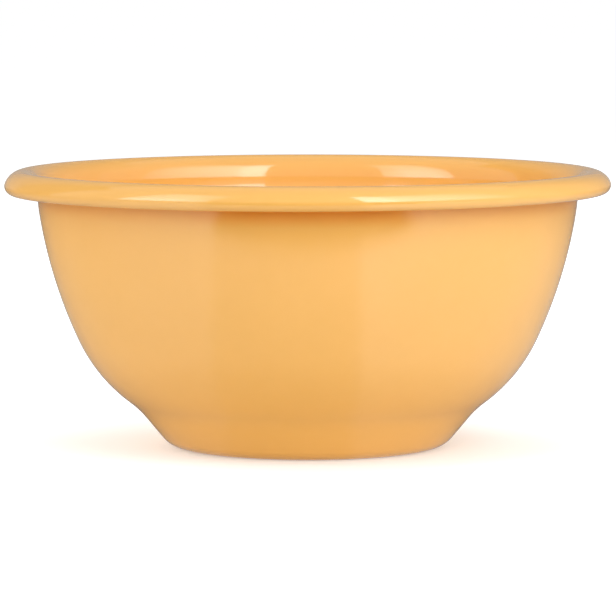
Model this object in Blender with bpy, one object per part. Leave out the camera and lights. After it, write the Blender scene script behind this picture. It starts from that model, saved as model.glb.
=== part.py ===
"""Enamel cereal bowl: one deep-drawn steel shell with glassy enamel fused to both of its faces.

The wall's section is drawn once, as its finished outside face: a chain of tangent lines and arcs
that runs from the middle of the base, round the foot and up the body, over the rolled rim, to the
cut edge that is tucked away under it. Each layer of the wall is that chain set off along its own
normals, closed into an outline and turned about the Z axis.

Metres, +Z up. The origin is the middle of the foot, on the surface that the bowl stands on.
"""

import math

import bpy

# Overall sizes.
RIM_DIAMETER = 0.152
HEIGHT = 0.0695

# The wall, layer by layer: steel in the middle, then a ground coat and a cover coat on each face.
STEEL_THICKNESS = 0.0006
GROUND_COAT_THICKNESS = 0.0001
COVER_COAT_THICKNESS = 0.00016
LAYER_GAP = 0.00004

# The foot: a flat ring round a shallow recess, an edge, a leaning wall and a hollow neck above it.
FOOT_DIAMETER = 0.0632
FOOT_RING_WIDTH = 0.0055
RECESS_DEPTH = 0.0008
RECESS_BEND_RADIUS = 0.006
FOOT_EDGE_RADIUS = 0.0063
FOOT_WALL_ANGLE = math.radians(50.0)
FOOT_WALL_LENGTH = 0.0068
NECK_RADIUS = 0.0244

# The body: a round lower sweep, a longer upper arc, and a throat that stands steeper under the rim.
BODY_START_ANGLE = math.radians(36.5)
BODY_LOWER_RADIUS = 0.0405
BODY_CHANGE_ANGLE = math.radians(65.0)
THROAT_RADIUS = 0.036
THROAT_STEEPENING = math.radians(4.2)

# The rolled rim, measured on the hollow side of the roll: a shoulder, a crown, a tip and a return.
SHOULDER_RADIUS = 0.0075
SHOULDER_END_ANGLE = math.radians(71.0)
CROWN_RADIUS = 0.0035
CROWN_END_ANGLE = math.radians(-66.3)
TIP_RADIUS = 0.0008
RETURN_RISE = math.radians(12.0)
CURL_GAP = 0.0004

# Facets: how far a chord may leave its arc along the section, and the sides of each turned ring.
CHORD_ERROR = 0.00015
SIDES = 32

WALL = STEEL_THICKNESS + 2 * (GROUND_COAT_THICKNESS + COVER_COAT_THICKNESS) + 4 * LAYER_GAP

# Headings along the section: outwards from the axis, down, and back towards the axis.
LEVEL = 0.0
STRAIGHT_DOWN = -math.pi / 2
STRAIGHT_BACK = -math.pi

# Finishes: colour, roughness, metallic.
YELLOW_GLAZE = ((0.90, 0.50, 0.155), 0.12, 0.0)
DARK_GROUND_GLAZE = ((0.022, 0.026, 0.048), 0.35, 0.0)
BARE_STEEL = ((0.52, 0.53, 0.55), 0.42, 1.0)


class Section:
    """A pen that draws the outside face. A station is (radius, height, heading) along it."""

    def __init__(self, radius, height, heading):
        self.stations = [(radius, height, heading)]

    def line(self, length):
        """Go straight on for a length."""
        self.stations.append(advanced(self.stations[-1], length))

    def arc(self, bend_radius, end_heading):
        """Turn to a heading on an arc whose centre is on the left, or on the right if negative."""
        heading = self.stations[-1][2]
        centre_radius, centre_height = set_off(self.stations[-1], bend_radius)
        turn = end_heading - heading
        skin_radius = abs(bend_radius) if bend_radius > 0 else abs(bend_radius) + WALL
        widest_step = 2 * math.acos(1 - min(CHORD_ERROR / skin_radius, 1.0))
        steps = max(1, math.ceil(abs(turn) / widest_step))
        for step in range(1, steps + 1):
            angle = heading + turn * step / steps
            self.stations.append(
                (
                    centre_radius + bend_radius * math.sin(angle),
                    centre_height - bend_radius * math.cos(angle),
                    angle,
                )
            )


def advanced(station, length):
    """The station that lies a length further on, straight ahead."""
    radius, height, heading = station
    return (
        radius + length * math.cos(heading),
        height + length * math.sin(heading),
        heading,
    )


def set_off(station, depth):
    """The point that lies a depth into the wall, to the left of the heading."""
    radius, height, heading = station
    return (radius - depth * math.sin(heading), height + depth * math.cos(heading))


def face_at(stations, depth):
    """The section's points at one depth into the wall."""
    return [set_off(station, depth) for station in stations]


def draw_base_and_foot():
    """The outside face from the middle of the recess to the top of the neck."""
    bend_angle = math.acos(1 - RECESS_DEPTH / (2 * RECESS_BEND_RADIUS))
    bend_run = 2 * RECESS_BEND_RADIUS * math.sin(bend_angle)
    panel_radius = FOOT_DIAMETER / 2 - FOOT_RING_WIDTH - bend_run
    section = Section(0.0, RECESS_DEPTH, LEVEL)
    section.line(panel_radius)
    section.arc(-RECESS_BEND_RADIUS, -bend_angle)
    section.arc(RECESS_BEND_RADIUS, LEVEL)
    section.line(FOOT_RING_WIDTH)
    section.arc(FOOT_EDGE_RADIUS, FOOT_WALL_ANGLE)
    section.line(FOOT_WALL_LENGTH)
    section.arc(-NECK_RADIUS, BODY_START_ANGLE)
    return section


def arc_into_bend(start, bend_centre, bend_radius):
    """Radius and end heading of the arc that leaves a station and runs into a bend without a corner."""
    radius, height, heading = start
    across = radius - bend_centre[0]
    up = height - bend_centre[1]
    towards_left = -across * math.sin(heading) + up * math.cos(heading)
    arc_radius = (bend_radius**2 - across**2 - up**2) / (2 * (bend_radius + towards_left))
    arc_centre = set_off(start, arc_radius)
    side = math.copysign(1.0, arc_radius - bend_radius)
    end_heading = math.atan2(
        side * (bend_centre[0] - arc_centre[0]),
        side * (arc_centre[1] - bend_centre[1]),
    )
    return arc_radius, end_heading


def shoulder_centre():
    """The centre of the rim's shoulder, which follows from the rim's diameter, height and roll."""
    tip_skin = TIP_RADIUS + WALL
    crown_skin = CROWN_RADIUS + WALL
    crown_reach = (crown_skin - tip_skin) * math.cos(CROWN_END_ANGLE - STRAIGHT_DOWN)
    crown_centre = (RIM_DIAMETER / 2 - tip_skin - crown_reach, HEIGHT - crown_skin)
    return set_off((*crown_centre, SHOULDER_END_ANGLE), CROWN_RADIUS - SHOULDER_RADIUS)


def draw_body(section):
    """The body's arcs. The throat ends a little steeper than the body alone would meet the rim."""
    section.arc(BODY_LOWER_RADIUS, BODY_CHANGE_ANGLE)
    sweep_end = section.stations[-1]
    rim_start = shoulder_centre()
    _, plain_heading = arc_into_bend(sweep_end, rim_start, -SHOULDER_RADIUS)
    throat_end = plain_heading + THROAT_STEEPENING
    throat_centre = set_off((*rim_start, throat_end), SHOULDER_RADIUS + THROAT_RADIUS)
    upper_radius, throat_start = arc_into_bend(sweep_end, throat_centre, THROAT_RADIUS)
    section.arc(upper_radius, throat_start)
    section.arc(THROAT_RADIUS, throat_end)


def draw_rim(section):
    """The roll over the shoulder, the crown and the tip, then back under towards the wall."""
    section.arc(-SHOULDER_RADIUS, SHOULDER_END_ANGLE)
    shoulder_top_radius = section.stations[-1][0]
    section.arc(-CROWN_RADIUS, LEVEL)
    section.arc(-CROWN_RADIUS, CROWN_END_ANGLE)
    section.arc(-TIP_RADIUS, STRAIGHT_DOWN)
    section.arc(-TIP_RADIUS, STRAIGHT_BACK - RETURN_RISE)
    edge_radius = shoulder_top_radius + CURL_GAP
    reach = section.stations[-1][0] - WALL * math.sin(RETURN_RISE) - edge_radius
    sealed_edge = LAYER_GAP + COVER_COAT_THICKNESS
    section.line(reach / math.cos(RETURN_RISE) - sealed_edge)


def outside_face():
    """Every station of the finished outside face, from the axis to the steel's cut edge."""
    section = draw_base_and_foot()
    draw_body(section)
    draw_rim(section)
    return section.stations


def layer_outline(stations, near, far):
    """A layer between two depths: out along its upper face and back along its lower face."""
    return face_at(stations, far) + face_at(stations, near)[::-1]


def sealing_outline(stations, near, far):
    """The inside cover coat: its end is turned round the cut edge and seals the other layers."""
    inner_end = advanced(stations[-1], LAYER_GAP)
    outer_end = advanced(inner_end, COVER_COAT_THICKNESS)
    upper = face_at(stations[:-1] + [outer_end], far)
    around_edge = [set_off(outer_end, 0.0), set_off(inner_end, 0.0)]
    lower = face_at(stations[:-1] + [inner_end], near)
    return upper + around_edge + lower[::-1]


def plain_material(name, finish):
    """A Principled material with one colour, roughness and metallic value."""
    colour, roughness, metallic = finish
    material = bpy.data.materials.new(name)
    material.use_nodes = True
    shader = material.node_tree.nodes["Principled BSDF"]
    shader.inputs["Base Color"].default_value = (*colour, 1.0)
    shader.inputs["Roughness"].default_value = roughness
    shader.inputs["Metallic"].default_value = metallic
    material.diffuse_color = (*colour, 1.0)
    return material


def turned_piece(name, outline, finish):
    """Turn an outline, which starts and ends on the axis, into a closed solid about Z."""
    mesh = bpy.data.meshes.new(name)
    points = [(radius, 0.0, height) for radius, height in outline]
    edges = [(index, index + 1) for index in range(len(points) - 1)]
    mesh.from_pydata(points, edges, [])
    mesh.materials.append(plain_material(name, finish))
    piece = bpy.data.objects.new(name, mesh)
    bpy.context.scene.collection.objects.link(piece)
    turning = piece.modifiers.new("turning", "SCREW")
    turning.axis = "Z"
    turning.angle = 2 * math.pi
    turning.steps = SIDES
    turning.render_steps = SIDES
    turning.use_smooth_shade = True
    turning.use_merge_vertices = True
    turning.merge_threshold = LAYER_GAP / 10
    return piece


def clear_scene():
    for old in list(bpy.data.objects):
        bpy.data.objects.remove(old, do_unlink=True)


def build_bowl():
    """Lay the five layers up from the outside face inwards."""
    stations = outside_face()
    cover_outside = COVER_COAT_THICKNESS
    ground_outside = cover_outside + LAYER_GAP
    steel_outside = ground_outside + GROUND_COAT_THICKNESS + LAYER_GAP
    ground_inside = steel_outside + STEEL_THICKNESS + LAYER_GAP
    cover_inside = ground_inside + GROUND_COAT_THICKNESS + LAYER_GAP
    turned_piece(
        "cover_coat_outside",
        layer_outline(stations, 0.0, cover_outside),
        YELLOW_GLAZE,
    )
    turned_piece(
        "ground_coat_outside",
        layer_outline(stations, ground_outside, ground_outside + GROUND_COAT_THICKNESS),
        DARK_GROUND_GLAZE,
    )
    turned_piece(
        "steel_shell",
        layer_outline(stations, steel_outside, steel_outside + STEEL_THICKNESS),
        BARE_STEEL,
    )
    turned_piece(
        "ground_coat_inside",
        layer_outline(stations, ground_inside, ground_inside + GROUND_COAT_THICKNESS),
        DARK_GROUND_GLAZE,
    )
    turned_piece(
        "cover_coat_inside",
        sealing_outline(stations, cover_inside, WALL),
        YELLOW_GLAZE,
    )


clear_scene()
build_bowl()
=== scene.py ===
# %% [markdown]
# # An enamel cereal bowl
#
# The real bowl is one disc of thin steel, pressed into shape and rolled over at its edge. A dark
# ground coat of glass is melted onto it first, because it grips the metal, and an opaque yellow
# cover coat is melted onto that. This lesson builds those five layers as surfaces of revolution,
# gives each one its finish, and lights the bowl as a small product set would.

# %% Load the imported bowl
import math

import bpy
import numpy as np
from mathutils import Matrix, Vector


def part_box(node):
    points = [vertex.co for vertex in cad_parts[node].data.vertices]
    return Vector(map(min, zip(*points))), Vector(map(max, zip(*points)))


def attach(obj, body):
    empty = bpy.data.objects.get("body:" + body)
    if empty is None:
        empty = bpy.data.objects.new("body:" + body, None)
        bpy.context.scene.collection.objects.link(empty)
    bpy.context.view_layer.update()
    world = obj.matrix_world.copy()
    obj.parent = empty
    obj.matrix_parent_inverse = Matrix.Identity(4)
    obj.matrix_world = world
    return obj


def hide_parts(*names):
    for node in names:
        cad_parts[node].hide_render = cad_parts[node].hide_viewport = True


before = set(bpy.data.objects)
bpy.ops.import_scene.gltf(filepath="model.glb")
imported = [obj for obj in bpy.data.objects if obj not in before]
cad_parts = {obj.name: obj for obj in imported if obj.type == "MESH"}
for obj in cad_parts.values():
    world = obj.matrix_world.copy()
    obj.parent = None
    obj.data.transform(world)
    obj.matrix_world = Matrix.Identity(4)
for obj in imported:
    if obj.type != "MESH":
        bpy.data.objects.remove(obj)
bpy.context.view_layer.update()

MM = 0.001
print("the packed nodes:", sorted(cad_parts))

# %% [markdown]
# ## Where each layer lies
# The wall is a sandwich 1.28 mm thick. The frame already says where each layer of it lies: the foot
# ring is flat, so a layer's lowest point is its depth in the wall there, and the top of the rim is
# level, so its highest point gives the depth of its other face. Reading both from the frame keeps
# this file in step with the solids, where typing them again would let the two drift apart.

# %% Read the layers from the frame
WALL = 1.28 * MM
RIM_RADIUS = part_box("cover_coat_inside")[1].x
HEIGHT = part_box("cover_coat_inside")[1].z


def layer_depths(node):
    """The depths of a layer's lower and upper face, measured in from the bowl's outside face."""
    lowest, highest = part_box(node)
    return lowest.z, highest.z - (HEIGHT - WALL)


DEPTHS = {node: layer_depths(node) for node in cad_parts}
for node, (near, far) in sorted(DEPTHS.items(), key=lambda item: item[1]):
    print(f"{node}: from {near / MM:.2f} mm to {far / MM:.2f} mm into the wall")

# %% [markdown]
# ## A pen for the section
# A press tool is drawn with straight runs and round bends that meet without a corner, so the section
# is drawn the same way. A station on it is a radius, a height and a heading, the direction in which
# the pen is going. A spline through a few points would also be smooth, but its bends would not be
# round, and glossy enamel shows that at once in its reflections.

# %% Straight runs and round bends
FINEST_TURN = math.radians(3.2)
LONGEST_STEP = 1.9 * MM


def straight(start, length):
    """Stations on a straight run: the start plus the distance times (cos heading, sin heading)."""
    radius, height, heading = start
    steps = math.ceil(length / LONGEST_STEP)
    distance = length * np.arange(1, steps + 1) / steps
    return np.column_stack(
        [
            radius + distance * np.cos(heading),
            height + distance * np.sin(heading),
            np.full(steps, heading),
        ]
    )


def bend(start, bend_radius, end_heading):
    """Stations round an arc: its centre plus the bend radius times (sin heading, -cos heading).

    A positive bend radius turns to the left, and a negative one to the right.
    """
    radius, height, heading = start
    turn = end_heading - heading
    steps = math.ceil(max(abs(turn) / FINEST_TURN, abs(turn * bend_radius) / LONGEST_STEP))
    headings = heading + turn * np.arange(1, steps + 1) / steps
    centre_radius = radius - bend_radius * np.sin(heading)
    centre_height = height + bend_radius * np.cos(heading)
    return np.column_stack(
        [
            centre_radius + bend_radius * np.sin(headings),
            centre_height - bend_radius * np.cos(headings),
            headings,
        ]
    )


def go_on(section, run, *sizes):
    """The section with one more run on its end, which starts at its last station."""
    return np.vstack([section, run(section[-1], *sizes)])


print(f"a bend has a station every {math.degrees(FINEST_TURN):.1f} degrees or less")

# %% [markdown]
# ## The base and the foot
# The bowl stands on a flat ring. Inside the ring the base is pressed up a little, so that it can't
# rock on a bulge, and outside it the metal leans out and then hollows in under the body. These sizes
# repeat those of the solids, because a finish has to sit on the shape that was packed.

# %% Draw the base and the foot
LEVEL = 0.0
FOOT_RADIUS = 31.6 * MM
FOOT_RING_WIDTH = 5.5 * MM
RECESS_DEPTH = 0.8 * MM
RECESS_BEND_RADIUS = 6.0 * MM
FOOT_EDGE_RADIUS = 6.3 * MM
FOOT_WALL_ANGLE = math.radians(50.0)
FOOT_WALL_LENGTH = 6.8 * MM
NECK_RADIUS = 24.4 * MM
BODY_START_ANGLE = math.radians(36.5)

recess_angle = math.acos(1 - RECESS_DEPTH / (2 * RECESS_BEND_RADIUS))
panel_radius = FOOT_RADIUS - FOOT_RING_WIDTH - 2 * RECESS_BEND_RADIUS * math.sin(recess_angle)

section = np.array([[0.0, RECESS_DEPTH, LEVEL]])
section = go_on(section, straight, panel_radius)
section = go_on(section, bend, -RECESS_BEND_RADIUS, -recess_angle)
section = go_on(section, bend, RECESS_BEND_RADIUS, LEVEL)
section = go_on(section, straight, FOOT_RING_WIDTH)
section = go_on(section, bend, FOOT_EDGE_RADIUS, FOOT_WALL_ANGLE)
section = go_on(section, straight, FOOT_WALL_LENGTH)
section = go_on(section, bend, -NECK_RADIUS, BODY_START_ANGLE)
print(f"the neck ends at radius {section[-1, 0] / MM:.2f} mm, height {section[-1, 1] / MM:.2f} mm")

# %% [markdown]
# ## Where the rim starts
# The rim decides where the body has to arrive. Its crown touches the bowl's full height, and its tip
# the full width, so the crown's centre follows from those two sizes, and the shoulder's centre lies
# further on along the line where the two bends meet. Placing it by eye would be a hair off, and then
# the body would reach it with a corner.

# %% Place the shoulder
SHOULDER_RADIUS = 7.5 * MM
SHOULDER_END_ANGLE = math.radians(71.0)
CROWN_RADIUS = 3.5 * MM
CROWN_END_ANGLE = math.radians(-66.3)
TIP_RADIUS = 0.8 * MM
STRAIGHT_DOWN = -math.pi / 2
STRAIGHT_BACK = -math.pi

tip_skin = TIP_RADIUS + WALL
crown_skin = CROWN_RADIUS + WALL
crown_reach = (crown_skin - tip_skin) * math.cos(CROWN_END_ANGLE - STRAIGHT_DOWN)
crown_centre = np.array([RIM_RADIUS - tip_skin - crown_reach, HEIGHT - crown_skin])
past_crown = np.array([math.sin(SHOULDER_END_ANGLE), -math.cos(SHOULDER_END_ANGLE)])
shoulder_centre = crown_centre + (SHOULDER_RADIUS - CROWN_RADIUS) * past_crown
print("the shoulder's centre, in mm:", np.round(shoulder_centre / MM, 2))

# %% [markdown]
# ## The body
# The body is a round lower sweep, a much longer upper arc, and a throat that stands steeper just under
# the rim. The eye takes the throat for a shadow, but inside the bowl it is what ends the pictures of
# the lamps before they reach the near edge. The radius of an arc between two others could be tuned by
# hand. Here it is worked out: the arc's centre lies on the last normal, and its distance from the next
# bend's centre is the difference of the two radii.

# %% Draw the body
BODY_LOWER_RADIUS = 40.5 * MM
BODY_CHANGE_ANGLE = math.radians(65.0)
THROAT_RADIUS = 36.0 * MM
THROAT_STEEPENING = math.radians(4.2)


def to_the_left(heading):
    """The unit normal on the left of a heading: (-sin heading, cos heading)."""
    return np.array([-math.sin(heading), math.cos(heading)])


def arc_into_bend(start, bend_centre, bend_radius):
    """Radius and end heading of the arc that leaves a station and runs into a bend without a corner."""
    place, heading = start[:2], start[2]
    offset = place - bend_centre
    sideways = offset @ to_the_left(heading)
    arc_radius = (bend_radius**2 - offset @ offset) / (2 * (bend_radius + sideways))
    arc_centre = place + arc_radius * to_the_left(heading)
    outwards = (bend_centre - arc_centre) / (arc_radius - bend_radius)
    return arc_radius, math.atan2(outwards[0], -outwards[1])


section = go_on(section, bend, BODY_LOWER_RADIUS, BODY_CHANGE_ANGLE)
_, plain_heading = arc_into_bend(section[-1], shoulder_centre, -SHOULDER_RADIUS)
throat_end = plain_heading + THROAT_STEEPENING
throat_centre = shoulder_centre + (SHOULDER_RADIUS + THROAT_RADIUS) * to_the_left(throat_end)
upper_radius, throat_start = arc_into_bend(section[-1], throat_centre, THROAT_RADIUS)
section = go_on(section, bend, upper_radius, throat_start)
section = go_on(section, bend, THROAT_RADIUS, throat_end)
print(f"the upper arc's radius is {upper_radius / MM:.1f} mm")
print(f"the throat turns by {math.degrees(throat_end - throat_start):.1f} degrees")

# %% [markdown]
# ## The rolled rim
# A cut edge of sheet steel is sharp, and enamel won't hold on it, so the edge is rolled outwards and
# tucked back under. The roll isn't a full circle: a gentle shoulder leads into a broad crown, which
# turns down into a tight tip, and the edge comes back nearly level until it almost touches the wall.
# A torus would be quicker, but its round section would miss the flat underside, and with it the dark
# line under the rim.

# %% Draw the rim
RETURN_RISE = math.radians(12.0)
CURL_GAP = 0.4 * MM

LAYER_GAP = DEPTHS["ground_coat_outside"][0] - DEPTHS["cover_coat_outside"][1]
COVER_COAT = DEPTHS["cover_coat_outside"][1]

section = go_on(section, bend, -SHOULDER_RADIUS, SHOULDER_END_ANGLE)
edge_radius = section[-1, 0] + CURL_GAP
section = go_on(section, bend, -CROWN_RADIUS, LEVEL)
crown_top = len(section) - 1
section = go_on(section, bend, -CROWN_RADIUS, CROWN_END_ANGLE)
section = go_on(section, bend, -TIP_RADIUS, STRAIGHT_DOWN)
section = go_on(section, bend, -TIP_RADIUS, STRAIGHT_BACK - RETURN_RISE)
reach = section[-1, 0] - WALL * math.sin(RETURN_RISE) - edge_radius
section = go_on(section, straight, reach / math.cos(RETURN_RISE) - LAYER_GAP - COVER_COAT)
print(f"the section has {len(section)} stations, and its crown is at station {crown_top}")

# %% [markdown]
# ## A roll that droops a little
# A roll is formed by a spinning tool, and it never closes quite evenly all round. On this bowl the
# tip hangs a little lower on one side than on the other. That could be a displacement in the
# material, but it changes the outline, so it belongs in the mesh. Every layer takes the same shift,
# so the layers still lie in each other without touching.

# %% How far round the roll each station is
DROOP = 0.18 * MM
DROOP_SIDE = math.pi

turned_down = np.clip(section[:, 2] / STRAIGHT_DOWN, 0.0, 1.0)
roll_share = 0.5 - 0.5 * np.cos(math.pi * turned_down)
roll_share[:crown_top] = 0.0


def droop(turn, share):
    """How far a point hangs low: its share of the roll times a cosine of its angle from one side."""
    return DROOP * share * np.cos(turn - DROOP_SIDE)


print(f"{np.count_nonzero(roll_share)} stations of the roll move by up to {DROOP / MM:.2f} mm")

# %% [markdown]
# ## A layer's outline
# A layer is the section moved to the left by its two depths, out along one face and back along the
# other. Solidify could do that to a single sheet, but it would smear the tight bend at the tip, where
# the hollow side has less than half the radius of the outer side. Moving each station along its own
# normal keeps every bend round. The inside cover coat is longer than the others: its end wraps round
# the steel's cut edge and seals it.

# %% Outlines of the layers


def face_at(stations, share, depth):
    """The section at one depth: each station moved by the depth times (-sin heading, cos heading)."""
    radius, height, heading = stations.T
    return np.column_stack(
        [radius - depth * np.sin(heading), height + depth * np.cos(heading), share]
    )


def layer_outline(node):
    """Rows of radius, height and share of the roll: out on the upper face, back on the lower one."""
    near, far = DEPTHS[node]
    upper = face_at(section, roll_share, far)
    lower = face_at(section, roll_share, near)
    return np.vstack([upper, lower[::-1]])


def sealing_outline(node):
    """The same, but longer: the end runs past the other layers and turns down over their edges."""
    near, far = DEPTHS[node]
    inner_end = straight(section[-1], LAYER_GAP)
    outer_end = straight(inner_end[-1], COVER_COAT)
    end_share = roll_share[-1:]
    upper = face_at(np.vstack([section[:-1], outer_end]), roll_share, far)
    turned_end = np.vstack([face_at(outer_end, end_share, 0.0), face_at(inner_end, end_share, 0.0)])
    lower = face_at(np.vstack([section[:-1], inner_end]), roll_share, near)
    return np.vstack([upper, turned_end, lower[::-1]])


OUTLINES = {node: layer_outline(node) for node in DEPTHS}
OUTLINES["cover_coat_inside"] = sealing_outline("cover_coat_inside")
print("points in each outline:", {node: len(outline) for node, outline in OUTLINES.items()})

# %% [markdown]
# ## Turning an outline into a closed surface
# Each outline starts and ends on the axis, so turning it about Z gives a closed shell with a pole at
# each end. The Screw modifier does that too. Here the grid is worked out as whole arrays, with a fan
# of triangles at each pole, so that the points can also take the roll's droop on the way.

# %% The turned surface
COLUMNS = 192


def turned_points(outline):
    """Point (i, j) is outline row i turned by angle j: (r cos a, r sin a, z minus its droop)."""
    turn = 2 * math.pi * np.arange(COLUMNS) / COLUMNS
    radius, height, share = outline[1:-1, :, None].transpose(1, 0, 2)
    rings = np.stack(
        [radius * np.cos(turn), radius * np.sin(turn), height - droop(turn, share)], axis=-1
    )
    poles = [[0.0, 0.0, outline[0, 1]], [0.0, 0.0, outline[-1, 1]]]
    return np.vstack([rings.reshape(-1, 3), poles])


def turned_faces(ring_count):
    """Quads between neighbouring rings, and a fan of triangles round the pole at each end."""
    here = np.arange(COLUMNS)
    after = (here + 1) % COLUMNS
    start = COLUMNS * np.arange(ring_count - 1)[:, None]
    quads = np.stack(
        [start + here, start + COLUMNS + here, start + COLUMNS + after, start + after], axis=-1
    )
    first_pole = np.full(COLUMNS, ring_count * COLUMNS)
    last_ring = (ring_count - 1) * COLUMNS
    fans = np.vstack(
        [
            np.column_stack([first_pole, here, after]),
            np.column_stack([last_ring + here, first_pole + 1, last_ring + after]),
        ]
    )
    return quads.reshape(-1, 4), fans


print(f"each ring has {COLUMNS} sides")

# %% [markdown]
# ## From arrays to a mesh
# Blender keeps a mesh as three lists: the points, the corners of all faces one after another, and where
# each face starts among the corners. Adding faces one by one is slow for so many, and from_pydata takes
# each face as a list of its own, so the arrays are copied in whole with foreach_set.

# %% A mesh from arrays


def mesh_from_arrays(name, points, quads, fans):
    """A mesh from arrays: four corners for each quad, then three for each triangle of the fans."""
    mesh = bpy.data.meshes.new(name)
    corners = np.concatenate([quads.ravel(), fans.ravel()]).astype(np.int32)
    starts = np.concatenate(
        [4 * np.arange(len(quads)), 4 * len(quads) + 3 * np.arange(len(fans))]
    ).astype(np.int32)
    mesh.vertices.add(len(points))
    mesh.vertices.foreach_set("co", points.astype(np.float32).ravel())
    mesh.loops.add(len(corners))
    mesh.loops.foreach_set("vertex_index", corners)
    mesh.polygons.add(len(starts))
    mesh.polygons.foreach_set("loop_start", starts)
    mesh.update(calc_edges=True)
    return mesh


print("the mesh helper is ready")

# %% [markdown]
# ## Helpers for materials
# A material is a tree of nodes. Most of it is the same few steps over and over: a sum, a slope between
# two levels, a mix of two colours, a noise. Each gets a helper that makes the node and gives back its
# result, so that a finish can be read as a list of steps. A node editor shows the same tree as boxes
# and wires, but a script can be read from top to bottom.

# %% Helpers that make nodes


def add_node(tree, kind, inputs=None, **settings):
    """A new shader node. Its inputs, by name or number, are linked to a socket or set to a value."""
    made = tree.nodes.new("ShaderNode" + kind)
    for name, value in settings.items():
        setattr(made, name, value)
    for name, value in (inputs or {}).items():
        if isinstance(value, bpy.types.NodeSocket):
            tree.links.new(value, made.inputs[name])
        else:
            made.inputs[name].default_value = value
    return made


def math_node(tree, operation, *values):
    """The result of one Math node on two or three values."""
    return add_node(tree, "Math", dict(enumerate(values)), operation=operation).outputs[0]


def ramp(tree, value, stops=(0.0, 1.0), levels=(0.0, 1.0), **settings):
    """One level up to the first stop, another one from the second stop on, and a slope between."""
    inputs = {
        "Value": value,
        "From Min": stops[0],
        "From Max": stops[1],
        "To Min": levels[0],
        "To Max": levels[1],
    }
    return add_node(tree, "MapRange", inputs, **settings).outputs["Result"]


def mixed(tree, share, first, second):
    """The first colour with a share of the second one mixed in."""
    inputs = {"Factor": share, "A": first, "B": second}
    return add_node(tree, "Mix", inputs, data_type="RGBA").outputs["Result"]


def noise(tree, place, scale, detail):
    """A smooth random value at a place. A scale of 100 makes lumps of about a centimetre."""
    inputs = {"Vector": place, "Scale": scale, "Detail": detail}
    return add_node(tree, "TexNoise", inputs).outputs["Fac"]


print("node helpers are ready")

# %% [markdown]
# ## Groups and materials
# A finish that more than one layer has is a node group: it is built once and placed in each material
# with its own values. A group here only puts out colours, masks and heights. The shader itself stays
# in the material, where the export can read it.

# %% Helpers for groups and materials


def new_group(name, inputs, outputs):
    """An empty node group with named sockets, given as name and type, and those sockets inside it."""
    group = bpy.data.node_groups.new(name, "ShaderNodeTree")
    for socket_name, kind in inputs.items():
        group.interface.new_socket(socket_name, in_out="INPUT", socket_type=kind)
    for socket_name, kind in outputs.items():
        group.interface.new_socket(socket_name, in_out="OUTPUT", socket_type=kind)
    source = group.nodes.new("NodeGroupInput").outputs
    result = group.nodes.new("NodeGroupOutput").inputs
    return group, source, result


def placed(tree, group, inputs):
    """The outputs of a group that is placed in a material, with its inputs linked or set."""
    return add_node(tree, "Group", inputs, node_tree=group).outputs


def new_material(name):
    """A material with an empty node tree, and the socket that takes its shader."""
    material = bpy.data.materials.new(name)
    material.use_nodes = True
    tree = material.node_tree
    tree.nodes.clear()
    surface = add_node(tree, "OutputMaterial").inputs["Surface"]
    return material, tree, surface


def object_place(tree):
    """The place of the shaded point, in the piece's own coordinates."""
    return add_node(tree, "TexCoord").outputs["Object"]


print("group and material helpers are ready")

# %% [markdown]
# ## Tone: colour that drifts
# Enamel is sprayed or dipped on and then melted, so its thickness drifts over the ware, and the
# colour drifts with it by a percent or two. One noise of a few centimetres does that, with a weaker
# and finer one on top. A flat colour would look like plastic as soon as the light is even.

# %% The tone group
FLOAT = "NodeSocketFloat"
VECTOR = "NodeSocketVector"
COLOUR = "NodeSocketColor"
FINER = 9.0
FINE_SHARE = 0.35
NOISE_MIDDLE = 0.5
VALUE_SHARE = 2.0


def build_tone_group():
    """Colour out = colour in, with its value and saturation pushed by two noises times a depth."""
    group, source, result = new_group(
        "glaze_tone",
        {"Place": VECTOR, "Colour": COLOUR, "Broad": FLOAT, "Depth": FLOAT},
        {"Colour": COLOUR},
    )
    broad = noise(group, source["Place"], source["Broad"], detail=2.0)
    fine_scale = math_node(group, "MULTIPLY", source["Broad"], FINER)
    fine = noise(group, source["Place"], fine_scale, detail=1.0)
    middle = NOISE_MIDDLE * (1.0 + FINE_SHARE)
    drift = math_node(group, "MULTIPLY_ADD", fine, FINE_SHARE, -middle)
    both = math_node(group, "ADD", drift, broad)
    push = math_node(group, "MULTIPLY", both, source["Depth"])
    value = math_node(group, "MULTIPLY_ADD", push, VALUE_SHARE, 1.0)
    saturation = math_node(group, "SUBTRACT", 1.0, push)
    toned = add_node(
        group,
        "HueSaturation",
        {"Color": source["Colour"], "Saturation": saturation, "Value": value},
    )
    group.links.new(toned.outputs["Color"], result["Colour"])
    return group


TONE = build_tone_group()
print("built", TONE.name)

# %% [markdown]
# ## Orange peel: the skin of melted glass
# Melted glass pulls itself smooth, but not quite: a fine ripple stays, called orange peel, and over
# it lies a slow wave of a few centimetres. Both are far too shallow to model, a few hundredths of a
# millimetre at most, yet they soften the edges of every reflection. The group puts out a height in
# metres, and a Bump node in each material turns it into a tilt.

# %% The orange peel group


def build_peel_group():
    """Height = fine noise times its height, plus broad noise times its own height."""
    group, source, result = new_group(
        "orange_peel",
        {"Place": VECTOR, "Fine": FLOAT, "Fine Height": FLOAT, "Broad": FLOAT, "Broad Height": FLOAT},
        {"Height": FLOAT},
    )
    fine = noise(group, source["Place"], source["Fine"], detail=1.0)
    broad = noise(group, source["Place"], source["Broad"], detail=0.0)
    ripple = math_node(group, "MULTIPLY", fine, source["Fine Height"])
    wave = math_node(group, "MULTIPLY", broad, source["Broad Height"])
    group.links.new(math_node(group, "ADD", ripple, wave), result["Height"])
    return group


PEEL = build_peel_group()
print("built", PEEL.name)

# %% [markdown]
# ## Specks: pinholes and stray grains
# A gas bubble that bursts late in the firing leaves a pinhole, and a stray grain of another batch
# leaves a dark fleck. They are few and small. A Voronoi texture gives one centre to each cell. The
# group keeps only a share of the cells and draws a soft dot round each centre that is left.

# %% The speck group


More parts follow.
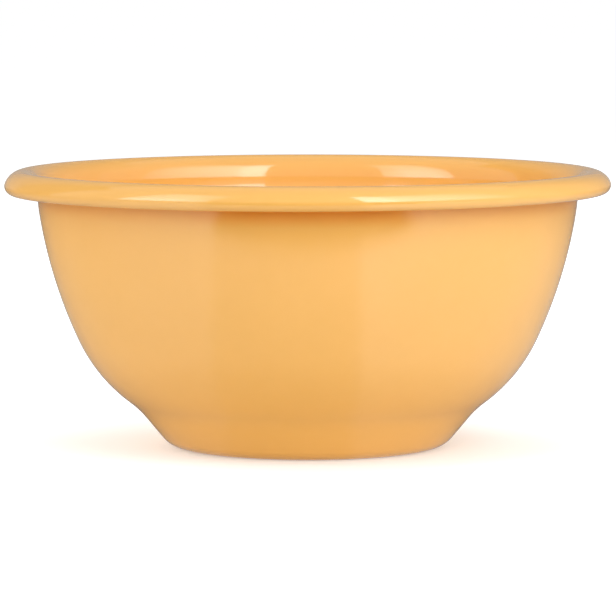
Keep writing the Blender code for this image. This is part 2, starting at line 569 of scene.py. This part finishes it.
def build_speck_group():
    """Mask = 1 near the centre of a Voronoi cell, for the share of cells whose random value is low."""
    group, source, result = new_group(
        "specks",
        {"Place": VECTOR, "Cells": FLOAT, "Size": FLOAT, "Share": FLOAT},
        {"Mask": FLOAT},
    )
    cells = add_node(group, "TexVoronoi", {"Vector": source["Place"], "Scale": source["Cells"]})
    dot = ramp(group, cells.outputs["Distance"], stops=(source["Size"], 0.0))
    chance = add_node(group, "SeparateColor", {"Color": cells.outputs["Color"]}).outputs["Red"]
    kept = math_node(group, "LESS_THAN", chance, source["Share"])
    group.links.new(math_node(group, "MULTIPLY", dot, kept), result["Mask"])
    return group


SPECKS = build_speck_group()
print("built", SPECKS.name)

# %% [markdown]
# ## Painted shade under the rim, and wear
# The outside coat is painted a deeper, more saturated yellow in the corner under the rim, most of all
# on the side that faces the camera. That is painted shade for the rim's shadow and for the light
# bounced between the rim and the wall. Where the bowl stands, the ring is scuffed a little duller. Both
# follow from a point's height and side alone, so the nodes read them from its place. Painting them on
# an image would need a UV map and a second file.

# %% Painted crease shade and scuffed enamel
YELLOW = (0.86, 0.455, 0.105, 1.0)
# Painted shade: a deeper, more saturated yellow for the corner under the rim, strongest at the front.
POOLED_YELLOW = (0.86, 0.32, 0.048, 1.0)
POOL_HEIGHTS = (59.3 * MM, 62.9 * MM)
POOL_SIDE = (-60.5 * MM, -66.5 * MM)
THIN_POOL = 0.4
SCUFF_HEIGHT = 0.25 * MM
SCRATCH_SCALE = 900.0


def pooled_yellow(tree, axes, pooled):
    """Yellow with painted shade: deeper with the height under the rim times the nearness to the front.
    """
    corner = ramp(tree, axes["Z"], POOL_HEIGHTS, (0.0, pooled))
    side = ramp(tree, axes["Y"], POOL_SIDE, (THIN_POOL, 1.0))
    return mixed(tree, math_node(tree, "MULTIPLY", corner, side), YELLOW, POOLED_YELLOW)


def scuffed(tree, place, height):
    """How worn a point is: the nearness to the table times a fine noise, for scratches."""
    low = ramp(tree, height, (SCUFF_HEIGHT, 0.0))
    return math_node(tree, "MULTIPLY", low, noise(tree, place, SCRATCH_SCALE, detail=3.0))


print(f"pooled above {POOL_HEIGHTS[0] / MM:.1f} mm, scuffed below {SCUFF_HEIGHT / MM:.2f} mm")

# %% [markdown]
# ## Yellow enamel
# The cover coat is opaque glass: a warm yellow body under a hard clear skin. A Principled shader with
# a low roughness is just that, a matt colour below a mirror that reflects about a seventeenth of
# what faces it and much more at a glancing angle. The groups add the drift of the colour, the orange
# peel and the specks. Only the outside coat has the painted shade under the rim, so the two coats have
# a material each.

# %% The yellow enamel material
SPECK_BROWN = (0.42, 0.20, 0.06, 1.0)
SPECK_STRENGTH = 0.5
SCUFFED_YELLOW = (0.70, 0.42, 0.16, 1.0)
GLOSSY_ROUGHNESS = 0.07
SCUFFED_ROUGHNESS = 0.38
ENAMEL_IOR = 1.65
YELLOW_DRIFT = {"Broad": 32.0, "Depth": 0.02}
YELLOW_SPECKS = {"Cells": 45.0, "Size": 0.014, "Share": 0.35}
YELLOW_RIPPLE = {"Fine": 420.0, "Fine Height": 3e-6, "Broad": 50.0, "Broad Height": 2e-5}


def lay_finish(tree, surface, peel, inputs):
    """A Principled shader with these inputs, whose normal is tilted by an orange peel's height."""
    height = placed(tree, PEEL, peel)["Height"]
    tilted = add_node(tree, "Bump", {"Height": height, "Distance": 1.0}).outputs["Normal"]
    shader = add_node(tree, "BsdfPrincipled", {**inputs, "Normal": tilted})
    tree.links.new(shader.outputs["BSDF"], surface)


def build_yellow_enamel(name, pooled):
    """With painted shade in the corner under the rim, toned, speckled and scuffed, over an orange-peel
    bump.
    """
    material, tree, surface = new_material(name)
    place = object_place(tree)
    axes = add_node(tree, "SeparateXYZ", {"Vector": place}).outputs
    colour = pooled_yellow(tree, axes, pooled)
    tone = placed(tree, TONE, {"Place": place, "Colour": colour, **YELLOW_DRIFT})
    specks = placed(tree, SPECKS, {"Place": place, **YELLOW_SPECKS})
    speck_share = math_node(tree, "MULTIPLY", specks["Mask"], SPECK_STRENGTH)
    speckled = mixed(tree, speck_share, tone["Colour"], SPECK_BROWN)
    scuff = scuffed(tree, place, axes["Z"])
    lay_finish(
        tree,
        surface,
        {"Place": place, **YELLOW_RIPPLE},
        {
            "Base Color": mixed(tree, scuff, speckled, SCUFFED_YELLOW),
            "Roughness": ramp(tree, scuff, levels=(GLOSSY_ROUGHNESS, SCUFFED_ROUGHNESS)),
            "IOR": ENAMEL_IOR,
        },
    )
    return material


# The outside coat takes the painted shade under the rim, and the inside coat takes none.
outside_enamel = build_yellow_enamel("yellow_enamel_outside", pooled=1.0)
inside_enamel = build_yellow_enamel("yellow_enamel_inside", pooled=0.0)
print("made", outside_enamel.name, "and", inside_enamel.name)

# %% [markdown]
# ## Ground coat and steel
# Neither shows on a whole bowl, but a chip or a cut would bare them. The ground coat is thin
# blue-black glass, duller and rougher than the cover. The steel is etched before it is coated, so it
# is grey and matt with fine pits. A plain colour would do for what can't be seen, but the groups are
# there already, and the same few steps give both.

# %% The ground coat and steel materials
GROUND_BLUE_BLACK = (0.022, 0.026, 0.048, 1.0)
BUBBLE_GREY = (0.10, 0.11, 0.14, 1.0)
PICKLED_GREY = (0.52, 0.53, 0.55, 1.0)
PIT_GREY = (0.20, 0.20, 0.21, 1.0)
CLOUD_SCALE = 120.0
ROUGHNESS_SWING = 0.1


def build_hidden_finish(name, colours, roughness, metallic, drift, pits, ripple):
    """Toned colour with specks in a second colour, a drifting roughness and a rippled surface."""
    material, tree, surface = new_material(name)
    place = object_place(tree)
    tone = placed(tree, TONE, {"Place": place, "Colour": colours[0], **drift})
    specks = placed(tree, SPECKS, {"Place": place, **pits})
    cloud = noise(tree, place, CLOUD_SCALE, detail=3.0)
    dullness = (roughness - ROUGHNESS_SWING, roughness + ROUGHNESS_SWING)
    lay_finish(
        tree,
        surface,
        {"Place": place, **ripple},
        {
            "Base Color": mixed(tree, specks["Mask"], tone["Colour"], colours[1]),
            "Roughness": ramp(tree, cloud, levels=dullness),
            "Metallic": metallic,
        },
    )
    return material


ground_enamel = build_hidden_finish(
    "ground_enamel",
    (GROUND_BLUE_BLACK, BUBBLE_GREY),
    roughness=0.35,
    metallic=0.0,
    drift={"Broad": 60.0, "Depth": 0.15},
    pits={"Cells": 500.0, "Size": 0.12, "Share": 0.4},
    ripple={"Fine": 700.0, "Fine Height": 1e-5, "Broad": 90.0, "Broad Height": 2e-5},
)
pickled_steel = build_hidden_finish(
    "pickled_steel",
    (PICKLED_GREY, PIT_GREY),
    roughness=0.42,
    metallic=1.0,
    drift={"Broad": 80.0, "Depth": 0.08},
    pits={"Cells": 1400.0, "Size": 0.2, "Share": 0.5},
    ripple={"Fine": 2600.0, "Fine Height": 8e-6, "Broad": 160.0, "Broad Height": 8e-6},
)
print("made", ground_enamel.name, "and", pickled_steel.name)

# %% [markdown]
# ## The five layers
# Each layer becomes one closed piece. It stands for the imported node of the same name, which is hidden
# but stays in the scene. The imported nodes have 32 sides and would show through these finer coats, so
# all five are replaced, also the three that can't be seen.

# %% Make the layers
FINISHES = {
    "cover_coat_outside": (outside_enamel, "yellow_enamel"),
    "cover_coat_inside": (inside_enamel, "yellow_enamel"),
    "ground_coat_outside": (ground_enamel, "ground_enamel"),
    "ground_coat_inside": (ground_enamel, "ground_enamel"),
    "steel_shell": (pickled_steel, "steel"),
}
SHARPEST_SMOOTH = math.radians(40.0)


def make_layer(node, material):
    """Turn a layer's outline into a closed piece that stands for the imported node."""
    outline = OUTLINES[node]
    quads, fans = turned_faces(len(outline) - 2)
    mesh = mesh_from_arrays(node + "_fine", turned_points(outline), quads, fans)
    mesh.shade_smooth()
    mesh.set_sharp_from_angle(angle=SHARPEST_SMOOTH)
    mesh.materials.append(material)
    piece = bpy.data.objects.new(node + "_fine", mesh)
    bpy.context.scene.collection.objects.link(piece)
    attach(piece, "root")
    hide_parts(node)
    print(f"{piece.name}: {2 * len(quads) + len(fans)} triangles")


for node, (material, slot) in FINISHES.items():
    make_layer(node, material)

# %% [markdown]
# ## The camera
# The bowl was seen from a little above its rim through a long lens, so its far edge is hardly smaller
# than its near one. The place of the camera follows from the outline: the width of the rim's ellipse
# against its height gives the angle, and its size on a square picture gives the lens.

# %% Set the camera
PICTURE = 616
FOCAL_PIXELS = 4388.0
SENSOR = 36.0
CAMERA_PLACE = Vector((0.0001, -1.1, 0.1315))
CAMERA_AIM = Vector((0.0001, 0.0, 0.0346))
NEAREST_SEEN = 0.05
FARTHEST_SEEN = 200.0

camera = bpy.data.objects.new("camera", bpy.data.cameras.new("camera"))
camera.data.sensor_width = SENSOR
camera.data.lens = FOCAL_PIXELS * SENSOR / PICTURE
camera.data.clip_start = NEAREST_SEEN
camera.data.clip_end = FARTHEST_SEEN
camera.location = CAMERA_PLACE
camera.rotation_mode = "QUATERNION"
camera.rotation_quaternion = (CAMERA_AIM - CAMERA_PLACE).to_track_quat("-Z", "Y")
bpy.context.scene.collection.objects.link(camera)
bpy.context.scene.camera = camera
bpy.context.scene.view_settings.view_transform = "Standard"
print(f"a lens of {camera.data.lens:.1f} mm, {-CAMERA_PLACE.y:.2f} m in front of the bowl's axis")

# %% [markdown]
# ## Patches of light
# Gloss shows the lamps as much as the bowl. A lamp with the right power but the wrong outline would
# light the bowl well and still look wrong, so each lamp or card is a sheet that glows: a grid of
# points with a share of the light at each of them. An area lamp would be simpler, but it is even all
# over and has straight edges. Angles are counted from the camera's side, to the right and up.

# %% A patch of light
PATCH_ROWS = 25
PATCH_COLUMNS = 49
NO_FANS = np.empty((0, 3), int)


def on_sphere(azimuths, elevations, distance):
    """Point (i, j) is the distance times (sin a cos e, -cos a cos e, sin e)."""
    azimuth, elevation = np.meshgrid(
        np.linspace(*azimuths, PATCH_COLUMNS), np.linspace(*elevations, PATCH_ROWS)
    )
    a = np.radians(azimuth)
    e = np.radians(elevation)
    points = distance * np.stack([np.sin(a) * np.cos(e), -np.cos(a) * np.cos(e), np.sin(e)], axis=-1)
    return points, azimuth, elevation


def glowing_material(name, radiance):
    """Light of one radiance times the share that the mesh holds at each point."""
    material, tree, surface = new_material(name)
    share = add_node(tree, "Attribute", attribute_name="share").outputs["Color"]
    emission = add_node(tree, "Emission", {"Color": share, "Strength": radiance})
    tree.links.new(emission.outputs["Emission"], surface)
    return material


def light_patch(name, points, radiance, share):
    """A sheet over a grid of points, which the camera doesn't see, with a share of light at each."""
    rows, columns = share.shape
    corner = (np.arange(rows - 1)[:, None] * columns + np.arange(columns - 1)).ravel()
    quads = np.column_stack([corner, corner + columns, corner + columns + 1, corner + 1])
    mesh = mesh_from_arrays(name, points.reshape(-1, 3), quads, NO_FANS)
    shares = mesh.attributes.new("share", "FLOAT", "POINT")
    shares.data.foreach_set("value", share.astype(np.float32).ravel())
    mesh.materials.append(glowing_material(name, radiance))
    patch = bpy.data.objects.new(name, mesh)
    bpy.context.scene.collection.objects.link(patch)
    patch.visible_camera = False
    print(f"{name}: radiance up to {radiance * share.max():.2f}")
    return patch


print(f"a lamp or a flag has {PATCH_ROWS} rows of {PATCH_COLUMNS} points")

# %% [markdown]
# ## Two soft boxes
# The streaks on the rim and inside the far wall are pictures of two large soft boxes, one to each side
# of the camera, with a gap between them. Each box is drawn where its picture says it stood, and graded
# across and upwards as its picture is. The gradings are straight lines between a few stops, because
# the pictures are too small to show more.

# %% Make the soft boxes
BOX_DISTANCE = 0.75
BOX_ELEVATIONS = (9.5, 58.0)
RIGHT_BOX = (20.0, 82.0)
RIGHT_RADIANCE = 4.1
RIGHT_ACROSS = ((20.0, 1.6), (31.0, 1.57), (35.0, 1.09), (57.0, 0.79), (70.0, 0.59), (82.0, 0.35))
RIGHT_UPWARDS = ((9.5, 0.85), (20.0, 0.95), (30.0, 1.0), (45.0, 0.94), (58.0, 0.5))
LEFT_BOX = (-36.0, -72.0)
LEFT_RADIANCE = 4.45
LEFT_ACROSS = ((-72.0, 0.6), (-63.0, 1.0), (-49.0, 1.0), (-41.0, 0.7), (-36.0, 0.6))
LEFT_UPWARDS = ((9.5, 1.05), (25.0, 1.0), (40.0, 0.75), (58.0, 0.5))


def graded(where, stops):
    """The share at each point: straight lines between stops, each a place and the share there."""
    places, shares = zip(*stops)
    return np.interp(where, places, shares)


def soft_box(name, azimuths, radiance, across, upwards):
    """A patch whose share of light is one grading across it times another one up it."""
    points, azimuth, elevation = on_sphere(azimuths, BOX_ELEVATIONS, BOX_DISTANCE)
    light_patch(name, points, radiance, graded(azimuth, across) * graded(elevation, upwards))


soft_box("right_soft_box", RIGHT_BOX, RIGHT_RADIANCE, RIGHT_ACROSS, RIGHT_UPWARDS)
soft_box("left_soft_box", LEFT_BOX, LEFT_RADIANCE, LEFT_ACROSS, LEFT_UPWARDS)

# %% [markdown]
# ## Two fills
# The boxes alone would leave the bowl's two edges in shade, so a large dim card stands behind the bowl
# on each side and wraps light round it. More light from the room would also lift the edges, but it
# would flatten the whole bowl. The cards are kept out of reflections, because they are only there to
# fill.

# %% Make the fills
FILL_ELEVATIONS = (3.0, 48.0)
RIGHT_FILL = (98.0, 165.0)
RIGHT_FILL_RADIANCE = 1.45
LEFT_FILL = (-92.0, -160.0)
LEFT_FILL_RADIANCE = 2.4


def even_patch(name, azimuths, elevations, radiance):
    """A patch as far away as the boxes, with the full share of light all over."""
    points, azimuth, _ = on_sphere(azimuths, elevations, BOX_DISTANCE)
    return light_patch(name, points, radiance, np.ones_like(azimuth))


right_fill = even_patch("right_fill", RIGHT_FILL, FILL_ELEVATIONS, RIGHT_FILL_RADIANCE)
right_fill.visible_glossy = False
left_fill = even_patch("left_fill", LEFT_FILL, FILL_ELEVATIONS, LEFT_FILL_RADIANCE)
left_fill.visible_glossy = False

# %% [markdown]
# ## The floor
# The bowl stands on a matt white table, which bounces light up under it and keeps its soft shadow. A
# panel below lights it through, most of all at the foot, which is as bright as the wall above it on the
# real bowl. Away from the bowl the table is lifted to white for what the camera and the gloss see,
# because the lamps stand close and the far part of it gets little light.

# %% Make the floor
FLOOR_REACH = 30.0
FLOOR_WHITE = (0.68, 0.68, 0.68, 1.0)
UNDER_THE_FOOT = 0.03
CLEAR_OF_THE_BOWL = 0.13
GLOW = (0.26, 0.07)
LIFT = (0.05, 0.85)


def seen_directly(tree):
    """1 for what the camera sees straight, in a mirror or through glass, and 0 for lighting."""
    path = add_node(tree, "LightPath").outputs
    mirrored = math_node(tree, "MAXIMUM", path["Is Glossy Ray"], path["Is Transmission Ray"])
    return math_node(tree, "MAXIMUM", path["Is Camera Ray"], mirrored)


def build_floor_material():
    """Matt white, with a glow that fades away from the foot and a lift that grows, where it is seen."""
    material, tree, surface = new_material("white_table")
    away = add_node(tree, "VectorMath", {0: object_place(tree)}, operation="LENGTH").outputs["Value"]
    fade = (UNDER_THE_FOOT, CLEAR_OF_THE_BOWL)
    outwards = ramp(tree, away, fade, interpolation_type="SMOOTHSTEP")
    lift = math_node(tree, "MULTIPLY", ramp(tree, outwards, levels=LIFT), seen_directly(tree))
    strength = math_node(tree, "ADD", lift, ramp(tree, outwards, levels=GLOW))
    emission = add_node(tree, "Emission", {"Strength": strength})
    matt = add_node(tree, "BsdfDiffuse", {"Color": FLOOR_WHITE})
    lifted = add_node(tree, "AddShader", {0: matt.outputs["BSDF"], 1: emission.outputs["Emission"]})
    tree.links.new(lifted.outputs["Shader"], surface)
    return material


floor_corners = FLOOR_REACH * np.array([[-1, -1, 0], [1, -1, 0], [1, 1, 0], [-1, 1, 0]], float)
floor_mesh = mesh_from_arrays("floor", floor_corners, np.array([[0, 1, 2, 3]]), NO_FANS)
floor_mesh.materials.append(build_floor_material())
floor = bpy.data.objects.new("floor", floor_mesh)
bpy.context.scene.collection.objects.link(floor)
print(f"a floor of {2 * FLOOR_REACH:.0f} m")

# %% [markdown]
# ## What the wall mirrors
# The wall leans out over the table, so the table is all that its gloss can show. A plain white table
# would lay one even veil over the yellow. On the real bowl the veil is strong at the sides, below the
# boxes, weak in the middle, where the table ends in front of the camera, and dim behind. A ring of
# card with those shares lies a hair above the table, and only mirrors see it. Its dim rear also keeps
# the bowl's edges from melting into the white, because at a glancing angle enamel mirrors what is
# behind it.

# %% Lay the ring of card
CARD_HEIGHT = 0.5 * MM
CARD_RADII = (0.033, 1.3)
CARD_ROWS = 49
CARD_COLUMNS = 145
WHITE = 1.0
BEHIND = 180.0
ROUND_THE_BOWL = (
    (-BEHIND, 0.35), (-130.0, 0.4), (-95.0, 0.7), (-62.0, 1.17), (-36.0, 1.4),
    (-32.0, 0.98), (0.0, 0.95), (16.0, 1.0), (21.0, 1.72), (45.0, 1.52),
    (72.0, 1.25), (95.0, 0.95), (130.0, 0.55), (BEHIND, 0.35),
)
FROM_THE_FOOT = (
    (0.033, 0.3), (0.045, 0.25), (0.06, 0.45), (0.077, 0.7),
    (0.117, 0.88), (0.2, 1.0), (0.3, 0.88), (0.5, 0.6),
)
PAST_THE_EDGE = ((0.155, 0.0), (0.2, 0.9), (0.26, 0.96))
IN_FRONT = ((-37.0, 0.0), (-33.0, 1.0), (36.0, 1.0), (43.0, 0.0))


def on_table(radii, height):
    """Point (i, j) is (r sin a, -r cos a, height), with radii that grow by the same factor each."""
    azimuth, radius = np.meshgrid(
        np.linspace(-BEHIND, BEHIND, CARD_COLUMNS), np.geomspace(*radii, CARD_ROWS)
    )
    a = np.radians(azimuth)
    points = np.stack([radius * np.sin(a), -radius * np.cos(a), np.full_like(a, height)], axis=-1)
    return points, azimuth, radius


points, azimuth, radius = on_table(CARD_RADII, CARD_HEIGHT)
table_end = graded(-points[..., 1], PAST_THE_EDGE) * graded(azimuth, IN_FRONT)
share = graded(azimuth, ROUND_THE_BOWL) * graded(radius, FROM_THE_FOOT) * (1.0 - table_end)
ring_card = light_patch("ring_card", points, WHITE, share)
ring_card.visible_diffuse = False
ring_card.visible_shadow = False

# %% [markdown]
# ## Flags
# A photographer who lights gloss also puts up flags, dull cards that hold light back. A low one stands
# between the two boxes. It is the dark band across the middle of the far wall's inside. A large one
# stands behind the bowl and gives the rim's far side and its two ends something darker to mirror. It
# is darkest on the left, which is what the inside of the right wall shows.

# %% Put up the flags
FRONT_FLAG = (-36.0, 20.0)
FRONT_FLAG_ELEVATIONS = (0.0, 9.0)
FRONT_FLAG_RADIANCE = 0.25
BACK_FLAG = (110.0, 250.0)
BACK_FLAG_ELEVATIONS = (0.0, 50.0)
BACK_FLAG_DISTANCE = 1.3
BACK_ACROSS = ((110.0, 0.55), (135.0, 0.5), (145.0, 0.38), (215.0, 0.38), (222.0, 0.2), (250.0, 0.16))

even_patch("front_flag", FRONT_FLAG, FRONT_FLAG_ELEVATIONS, FRONT_FLAG_RADIANCE)
points, azimuth, _ = on_sphere(BACK_FLAG, BACK_FLAG_ELEVATIONS, BACK_FLAG_DISTANCE)
light_patch("back_flag", points, WHITE, graded(azimuth, BACK_ACROSS))

# %% [markdown]
# ## The room
# The room gives a little light from all round, and is white where the camera or a reflection sees it.
# A plain grey world would light the bowl as well, but it would also show as a grey background.

# %% Make the room
ROOM_FILL = 0.15

world = bpy.data.worlds.new("room")
bpy.context.scene.world = world
world.use_nodes = True
room = world.node_tree
room.nodes.clear()
room_strength = ramp(room, seen_directly(room), levels=(ROOM_FILL, WHITE))
room_light = add_node(room, "Background", {"Strength": room_strength})
room.links.new(room_light.outputs["Background"], add_node(room, "OutputWorld").inputs["Surface"])
print("a room of strength", ROOM_FILL)
